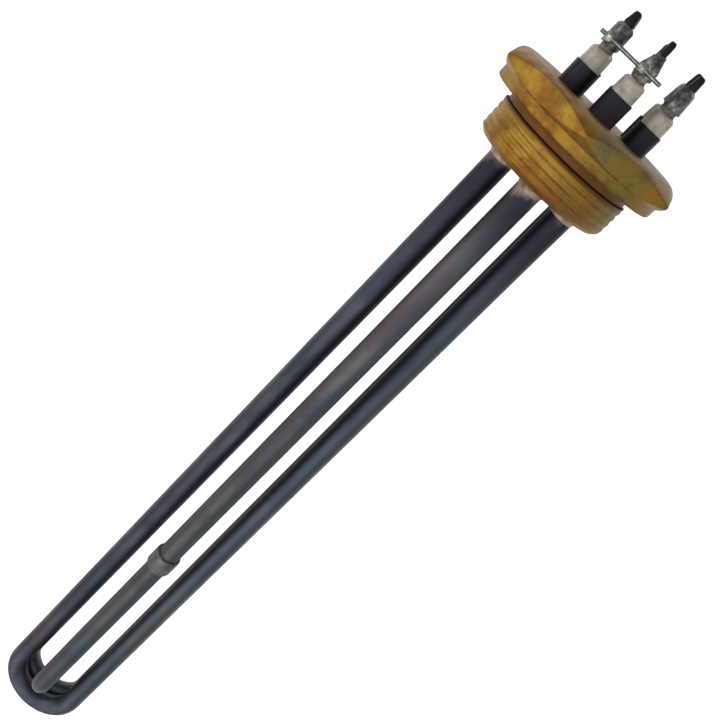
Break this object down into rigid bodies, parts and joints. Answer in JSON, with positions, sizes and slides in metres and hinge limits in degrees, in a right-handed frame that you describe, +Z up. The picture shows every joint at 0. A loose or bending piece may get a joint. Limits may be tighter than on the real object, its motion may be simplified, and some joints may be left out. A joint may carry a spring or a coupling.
{
  "type": "screw-in immersion heating element",
  "caption": "Immersion heating element with hairpin tubes nested on a threaded hexagon plug, and ceramic-beaded terminals with crimped tabs behind it.",
  "frame": {"origin": "on the plug's axis, in the sealing face where the collar meets the tank", "axes": "+X along the thread's axis towards the terminals, with the heated ends towards -X; +Z up, through one corner of the hexagon, with the upright hairpin in the XZ plane"},
  "size_m": [0.3613, 0.06, 0.0692],
  "materials": {
    "brass": "turned brass with heat stains",
    "sheath": "oxidised dark grey tube",
    "magnesia": "packed magnesia powder",
    "coil_alloy": "resistance wire",
    "pin_steel": "darkened steel pin",
    "ceramic": "cream glazed ceramic",
    "tab_metal": "dull plated steel",
    "braze": "rough pinkish braze",
    "wire": "bare tinned wire",
    "clip_steel": "oxidised steel strip"
  },
  "bodies": {
    "root": {"screw_plug": "brass", "upper_sheath": "sheath", "upper_filling": "magnesia", "upper_coil": "coil_alloy", "upright_sheath": "sheath", "upright_filling": "magnesia", "upright_coil": "coil_alloy", "lower_sheath": "sheath", "lower_filling": "magnesia", "lower_coil": "coil_alloy", "upper_left_pin": "pin_steel", "upper_left_bead": "ceramic", "upper_left_tab": "tab_metal", "upper_left_braze": "braze", "top_pin": "pin_steel", "top_bead": "ceramic", "top_tab": "tab_metal", "top_braze": "braze", "upper_right_pin": "pin_steel", "upper_right_bead": "ceramic", "upper_right_tab": "tab_metal", "upper_right_braze": "braze", "lower_right_pin": "pin_steel", "lower_right_bead": "ceramic", "lower_right_tab": "tab_metal", "lower_right_braze": "braze", "bottom_pin": "pin_steel", "bottom_bead": "ceramic", "bottom_tab": "tab_metal", "bottom_braze": "braze", "lower_left_pin": "pin_steel", "lower_left_bead": "ceramic", "lower_left_tab": "tab_metal", "lower_left_braze": "braze", "link_wire": "wire", "band_clip": "clip_steel"}
  },
  "joints": []
}
